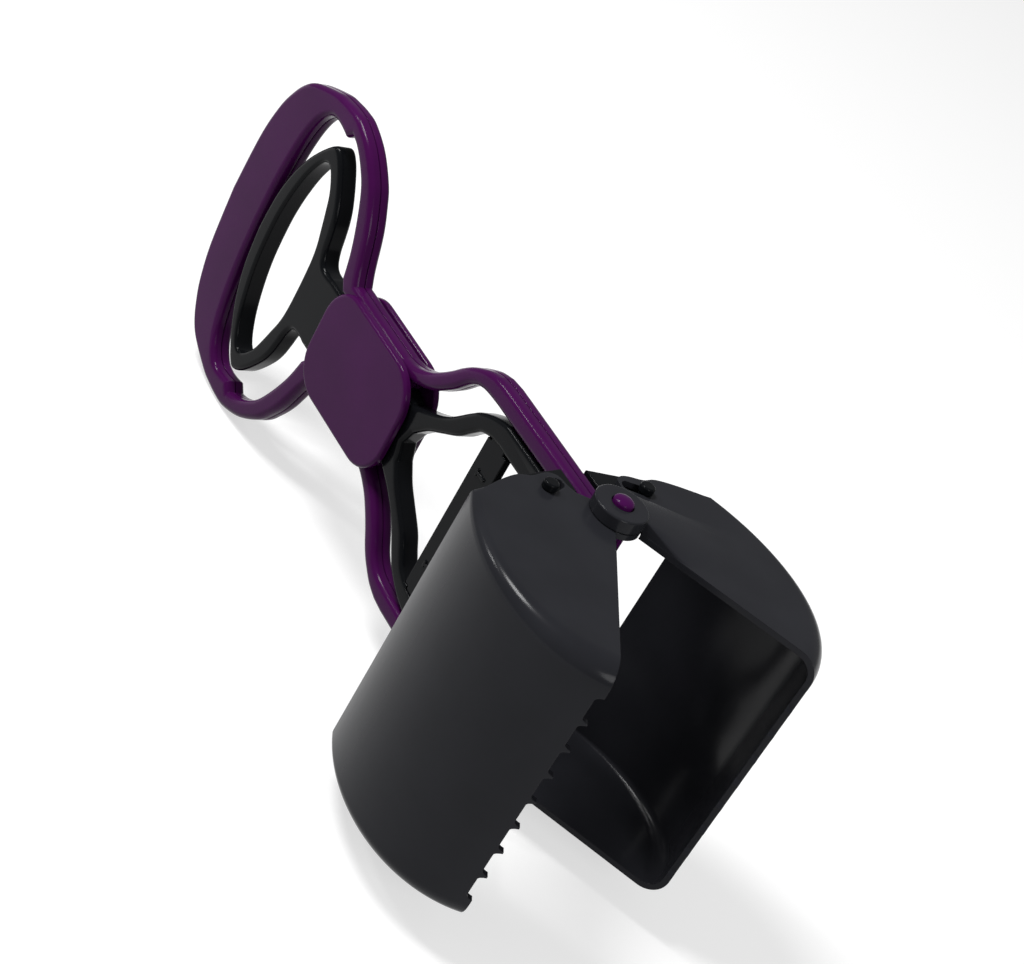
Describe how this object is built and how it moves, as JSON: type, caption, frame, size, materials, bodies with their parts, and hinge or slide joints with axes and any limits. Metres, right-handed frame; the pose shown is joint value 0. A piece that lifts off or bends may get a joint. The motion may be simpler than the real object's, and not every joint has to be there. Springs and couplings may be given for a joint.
{
  "type": "jaw scooper for pet waste",
  "caption": "Squeeze-handled clamshell scoop: a palm loop with a finger trigger, a hub and a yoke that carries two toothed half-round jaws on one hinge axis.",
  "frame": {"origin": "middle of the tool's footprint, at the level of the surface that it lies on. The tool lies on its side, with the far side of its palm loop down", "axes": "+Y along the handle from the jaws towards the grip, +Z along the jaws' hinge axis, -X towards the front jaw"},
  "size_m": [0.1024, 0.2648, 0.113],
  "materials": {
    "purple_plastic": "glossy moulded polypropylene, dark purple",
    "black_plastic": "satin to glossy moulded plastic, near black",
    "charcoal_plastic": "satin moulded plastic, charcoal",
    "zinc_steel": "zinc-plated steel"
  },
  "bodies": {
    "handle": {"handle_front_half": "purple_plastic", "handle_rear_half": "purple_plastic", "hub_front_cover": "purple_plastic", "hub_rear_cover": "purple_plastic", "hinge_pin_near": "purple_plastic", "hinge_pin_far": "purple_plastic", "hub_screw_1": "zinc_steel", "hub_screw_2": "zinc_steel", "hub_screw_3": "zinc_steel", "hub_screw_4": "zinc_steel", "return_spring": "zinc_steel"},
    "trigger": {"trigger": "black_plastic", "trigger_cross_plate": "black_plastic", "lift_pin_near_front": "black_plastic", "lift_pin_near_rear": "black_plastic", "lift_pin_far_front": "black_plastic", "lift_pin_far_rear": "black_plastic"},
    "front_jaw": {"front_jaw": "charcoal_plastic"},
    "rear_jaw": {"rear_jaw": "charcoal_plastic"}
  },
  "joints": [
    {"name": "trigger_slide", "type": "slide", "parent": "handle", "child": "trigger", "axis": [0, -1, 0], "range_m": [0, 0.006]},
    {"name": "front_jaw_hinge", "type": "hinge", "parent": "handle", "child": "front_jaw", "pos_m": [0, -0.07607, 0.0565], "axis": [0, 0, 1], "range_deg": [0, 31.5]},
    {"name": "rear_jaw_hinge", "type": "hinge", "parent": "handle", "child": "rear_jaw", "pos_m": [0, -0.07607, 0.0565], "axis": [0, 0, 1], "range_deg": [-31.5, 0]}
  ],
  "couplings": [
    {"joint": "front_jaw_hinge", "follows": "trigger_slide", "rad_per_m": 91.63},
    {"joint": "rear_jaw_hinge", "follows": "trigger_slide", "rad_per_m": -91.63}
  ]
}
